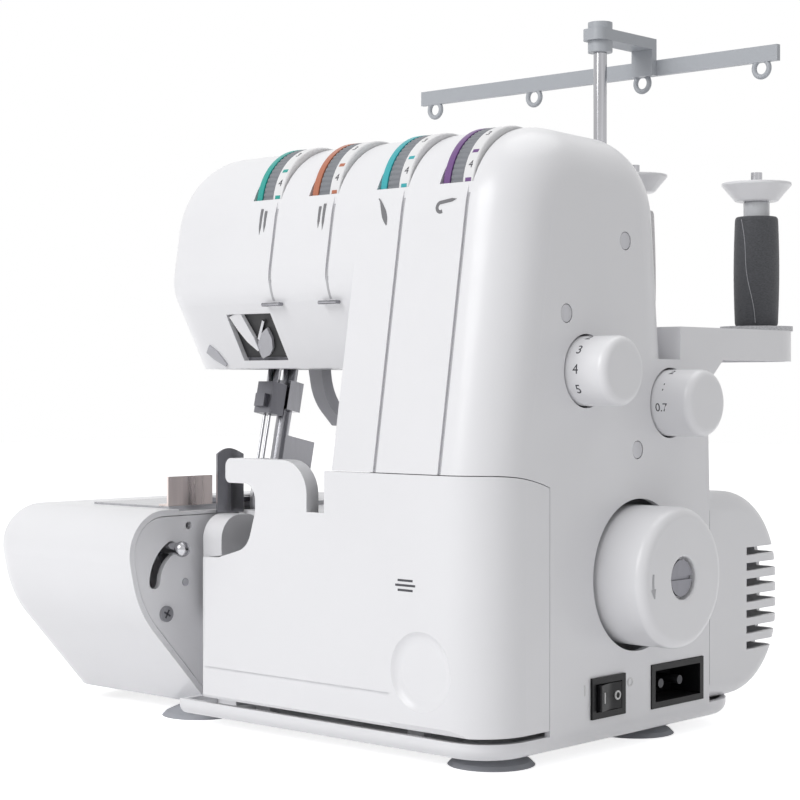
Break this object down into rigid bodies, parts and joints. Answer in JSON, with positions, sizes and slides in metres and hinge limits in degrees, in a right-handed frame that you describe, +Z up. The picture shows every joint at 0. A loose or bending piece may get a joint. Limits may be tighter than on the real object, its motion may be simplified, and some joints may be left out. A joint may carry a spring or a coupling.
{
  "type": "serger overlock machine",
  "caption": "White serger overlock machine with a column and head over a rounded bed, hinged looper cover, tension dials, handwheel, side knobs, spool tray and telescopic thread stand.",
  "frame": {"origin": "centre of the footprint box, on the surface the feet stand on", "axes": "+X operator's right towards the handwheel, +Y back, +Z up"},
  "size_m": [0.348, 0.297, 0.366],
  "materials": {
    "casing_white": "satin white moulding",
    "ring_white": "white ring with plain numbers",
    "foot_grey": "soft grey rubber",
    "cushion_foam": "thin felt",
    "bright_steel": "bright plated",
    "plate_steel": "ground",
    "guide_bronze": "warm brown plated",
    "dark_steel": "blackened",
    "stand_grey": "mid grey",
    "lever_grey": "light grey",
    "frame_cast": "die cast",
    "bush_brass": "turned",
    "pulley_alloy": "turned",
    "motor_black": "black",
    "belt_rubber": "matt",
    "black_plastic": "fine grain",
    "thread_charcoal": "wound thread",
    "thread_pale": "wound thread",
    "dial_teal": "coloured edge",
    "dial_orange": "coloured edge",
    "dial_turquoise": "coloured edge",
    "dial_purple": "coloured edge"
  },
  "bodies": {
    "machine": {"base_tray": "casing_white", "bed_cover": "casing_white", "bed_panel": "casing_white", "casing_screws": "bright_steel", "dial_axle": "bright_steel", "drive_belt": "belt_rubber", "edge_guide": "guide_bronze", "frame_casting": "frame_cast", "inlet_contacts": "bright_steel", "knife_housing": "casing_white", "lower_knife": "plate_steel", "main_casing": "casing_white", "motor": "motor_black", "motor_cover": "casing_white", "needle_plate": "plate_steel", "pivot_pins": "bright_steel", "power_inlet": "black_plastic", "rubber_feet": "foot_grey", "shaft_bushes": "bush_brass", "spool_caps": "casing_white", "spool_cushions": "cushion_foam", "spool_pins": "bright_steel", "spool_tray": "casing_white", "stand_sleeve": "bright_steel", "switch_bezel": "black_plastic", "thread_cone": "thread_pale", "thread_guides": "bright_steel", "thread_spool": "thread_charcoal"},
    "handwheel": {"handwheel": "casing_white", "handwheel_screw": "dark_steel", "main_shaft": "bright_steel", "shaft_pulley": "pulley_alloy"},
    "motor_rotor": {"motor_pulley": "pulley_alloy"},
    "stitch_length_knob": {"stitch_length_knob": "casing_white"},
    "differential_feed_knob": {"differential_feed_knob": "casing_white"},
    "switch_rocker": {"switch_rocker": "black_plastic"},
    "looper_cover": {"looper_cover": "casing_white"},
    "release_lever": {"release_lever": "bright_steel"},
    "needle_bar": {"needle_bar": "bright_steel", "needle_clamp": "dark_steel", "needles": "bright_steel"},
    "presser_lever": {"presser_lever": "lever_grey"},
    "presser_bar": {"presser_bar": "bright_steel", "presser_foot": "dark_steel"},
    "knife": {"upper_knife": "plate_steel", "knife_arm": "plate_steel"},
    "lower_looper": {"lower_looper": "plate_steel"},
    "upper_looper": {"upper_looper": "plate_steel"},
    "feed_dog": {"feed_dog": "plate_steel"},
    "thread_stand": {"stand_post": "bright_steel", "stand_bracket": "stand_grey", "guide_bar": "stand_grey"},
    "tension_dial_1": {"tension_dial_1": "dial_teal", "number_ring_1": "ring_white"},
    "tension_dial_2": {"tension_dial_2": "dial_orange", "number_ring_2": "ring_white"},
    "tension_dial_3": {"tension_dial_3": "dial_turquoise", "number_ring_3": "ring_white"},
    "tension_dial_4": {"tension_dial_4": "dial_purple", "number_ring_4": "ring_white"}
  },
  "joints": [
    {"name": "handwheel_turn", "type": "hinge", "parent": "machine", "child": "handwheel", "pos_m": [0.174, -0.01, 0.082], "axis": [1, 0, 0], "continuous": true},
    {"name": "motor_turn", "type": "hinge", "parent": "machine", "child": "motor_rotor", "pos_m": [0.118, 0.082, 0.066], "axis": [1, 0, 0], "continuous": true},
    {"name": "stitch_length_turn", "type": "hinge", "parent": "machine", "child": "stitch_length_knob", "pos_m": [0.16, -0.051, 0.178], "axis": [1, 0, 0], "range_deg": [-110, 110]},
    {"name": "differential_feed_turn", "type": "hinge", "parent": "machine", "child": "differential_feed_knob", "pos_m": [0.16, 0.016, 0.163], "axis": [1, 0, 0], "range_deg": [-100, 100]},
    {"name": "switch_rock", "type": "hinge", "parent": "machine", "child": "switch_rocker", "pos_m": [0.1434, -0.035, 0.0275], "axis": [0, 0, 1], "range_deg": [-8, 0]},
    {"name": "cover_open", "type": "hinge", "parent": "machine", "child": "looper_cover", "pos_m": [0.05, -0.1145, 0.021], "axis": [1, 0, 0], "range_deg": [0, 80]},
    {"name": "lever_release", "type": "hinge", "parent": "machine", "child": "release_lever", "pos_m": [-0.062, -0.112, 0.072], "axis": [1, 0, 0], "range_deg": [0, 56]},
    {"name": "needle_stroke", "type": "slide", "parent": "machine", "child": "needle_bar", "axis": [0, 0.2079, 0.9781], "range_m": [-0.024, 0.003]},
    {"name": "presser_lever_lift", "type": "hinge", "parent": "machine", "child": "presser_lever", "pos_m": [-0.072, -0.003, 0.188], "axis": [1, 0, 0], "range_deg": [0, 25]},
    {"name": "presser_foot_lift", "type": "slide", "parent": "machine", "child": "presser_bar", "axis": [0, 0.2079, 0.9781], "range_m": [0, 0.005]},
    {"name": "knife_swing", "type": "hinge", "parent": "machine", "child": "knife", "pos_m": [-0.06, -0.02, 0.072], "axis": [1, 0, 0], "range_deg": [-4, 4]},
    {"name": "lower_looper_swing", "type": "hinge", "parent": "machine", "child": "lower_looper", "pos_m": [-0.04, -0.058, 0.046], "axis": [0, 1, 0], "range_deg": [-10, 10]},
    {"name": "upper_looper_swing", "type": "hinge", "parent": "machine", "child": "upper_looper", "pos_m": [-0.04, -0.052, 0.046], "axis": [0, 1, 0], "range_deg": [-8, 8]},
    {"name": "feed_stroke", "type": "slide", "parent": "machine", "child": "feed_dog", "axis": [0, 1, 0], "range_m": [-0.0015, 0.0015]},
    {"name": "stand_slide", "type": "slide", "parent": "machine", "child": "thread_stand", "axis": [0, 0, 1], "range_m": [-0.035, 0]},
    {"name": "tension_turn_1", "type": "hinge", "parent": "machine", "child": "tension_dial_1", "pos_m": [-0.012, -0.066, 0.259], "axis": [1, 0, 0], "range_deg": [-140, 160]},
    {"name": "tension_turn_2", "type": "hinge", "parent": "machine", "child": "tension_dial_2", "pos_m": [0.027, -0.066, 0.259], "axis": [1, 0, 0], "range_deg": [-140, 160]},
    {"name": "tension_turn_3", "type": "hinge", "parent": "machine", "child": "tension_dial_3", "pos_m": [0.072, -0.066, 0.259], "axis": [1, 0, 0], "range_deg": [-140, 160]},
    {"name": "tension_turn_4", "type": "hinge", "parent": "machine", "child": "tension_dial_4", "pos_m": [0.111, -0.066, 0.259], "axis": [1, 0, 0], "range_deg": [-140, 160]}
  ],
  "couplings": [
    {"joint": "motor_turn", "follows": "handwheel_turn", "ratio": 2.8889},
    {"joint": "presser_lever_lift", "follows": "presser_foot_lift", "rad_per_m": 87.266}
  ]
}
